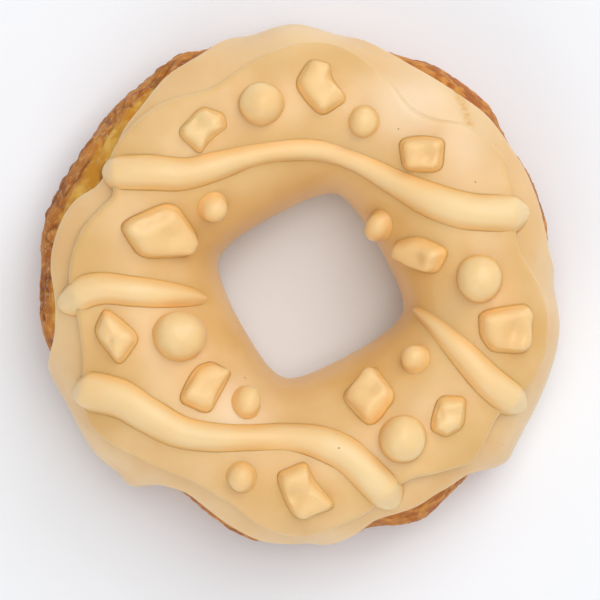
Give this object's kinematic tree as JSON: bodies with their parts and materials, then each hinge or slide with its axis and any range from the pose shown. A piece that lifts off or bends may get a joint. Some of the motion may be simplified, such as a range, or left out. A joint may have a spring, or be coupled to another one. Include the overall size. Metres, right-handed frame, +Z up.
{
  "type": "glazed ring doughnut",
  "caption": "Fried ring of dough under a thin glaze skirt and a thicker scalloped caramel top coat, with glazed strips, pearls and chunks on top and a rounded square hole.",
  "frame": {"origin": "on the surface that the doughnut rests on, under the middle of its outline", "axes": "+Z up through the hole, +X and +Y along the resting surface"},
  "size_m": [0.0935, 0.0935, 0.0349],
  "materials": {
    "crust": "fried crust, golden brown, faintly oily",
    "glaze": "set caramel glaze, smooth, satin sheen",
    "topping": "glazed over, satin sheen"
  },
  "bodies": {
    "root": {"dough": "crust", "first_coat": "glaze", "top_coat": "glaze", "pearl_1": "topping", "pearl_2": "topping", "pearl_3": "topping", "pearl_4": "topping", "chunk_1": "topping", "chunk_2": "topping", "chunk_3": "topping", "chunk_4": "topping", "chunk_5": "topping", "chunk_6": "topping", "chunk_7": "topping", "chunk_8": "topping", "chunk_9": "topping", "chunk_10": "topping", "chunk_11": "topping"}
  },
  "joints": []
}
